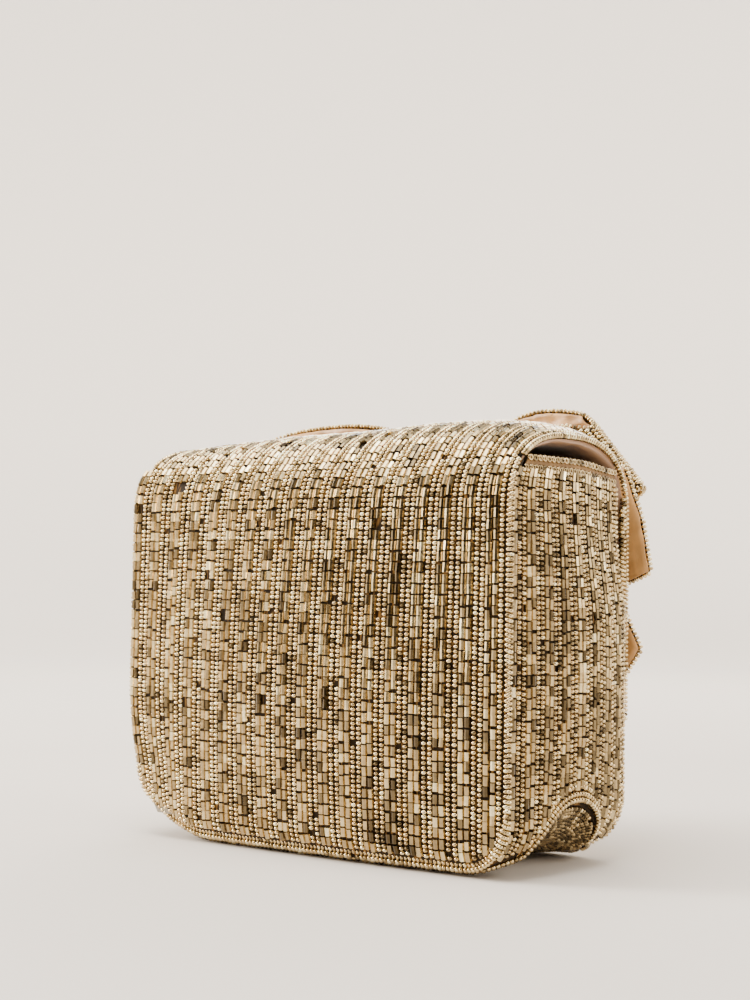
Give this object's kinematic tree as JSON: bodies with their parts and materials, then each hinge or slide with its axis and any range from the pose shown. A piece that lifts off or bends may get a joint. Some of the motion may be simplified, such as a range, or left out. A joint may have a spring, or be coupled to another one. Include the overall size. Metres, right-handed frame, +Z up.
{
  "type": "evening bag",
  "caption": "Boxy flap evening bag covered in metallic seed and bugle beads, with soft pleated sides, a hinged flap and a large lined bow on its front.",
  "frame": {"origin": "on the ground, under the middle of the bag's body", "axes": "+Z up, the flap's front and the bow face -Y, the plain back faces +Y, the width runs along X"},
  "size_m": [0.1915, 0.1169, 0.1732],
  "materials": {
    "beading": "pale gold metallic glass beads sewn on cloth",
    "bow_beading": "pale gold metallic glass beads sewn on cloth",
    "edge_beads": "single rows of pale gold beads set on edge",
    "bow_satin": "peach satin, crumpled",
    "flap_satin": "pinkish beige satin",
    "bag_lining": "dark satin",
    "board": "matt grey board",
    "snap": "polished light brass"
  },
  "bodies": {
    "body": {"back_board": "board", "back_panel": "beading", "bottom_board": "board", "bottom_panel": "beading", "front_board": "board", "front_panel": "beading", "lining_back": "bag_lining", "lining_bottom": "bag_lining", "lining_front": "bag_lining", "lining_side_left": "bag_lining", "lining_side_right": "bag_lining", "mouth_beading_front": "edge_beads", "side_beading_left": "edge_beads", "side_beading_right": "edge_beads", "side_panel_left": "beading", "side_panel_right": "beading", "snap_socket": "snap", "snap_socket_plate": "snap"},
    "flap": {"bow_knot": "bow_beading", "bow_loop_left": "bow_beading", "bow_loop_lining_left": "bow_satin", "bow_loop_lining_right": "bow_satin", "bow_loop_right": "bow_beading", "bow_tail_left": "bow_beading", "bow_tail_lining_left": "bow_satin", "bow_tail_lining_right": "bow_satin", "bow_tail_right": "bow_beading", "bow_wing_left": "bow_beading", "bow_wing_lining_left": "bow_satin", "bow_wing_lining_right": "bow_satin", "bow_wing_right": "bow_beading", "flap_beading_hem": "edge_beads", "flap_beading_left": "edge_beads", "flap_beading_right": "edge_beads", "flap_board_front": "board", "flap_board_top": "board", "flap_lining": "flap_satin", "flap_panel": "beading", "snap_stud": "snap", "snap_stud_plate": "snap"}
  },
  "joints": [
    {"name": "flap_hinge", "type": "hinge", "parent": "body", "child": "flap", "pos_m": [0, 0.03133, 0.146], "axis": [-1, 0, 0], "range_deg": [0, 170]}
  ]
}
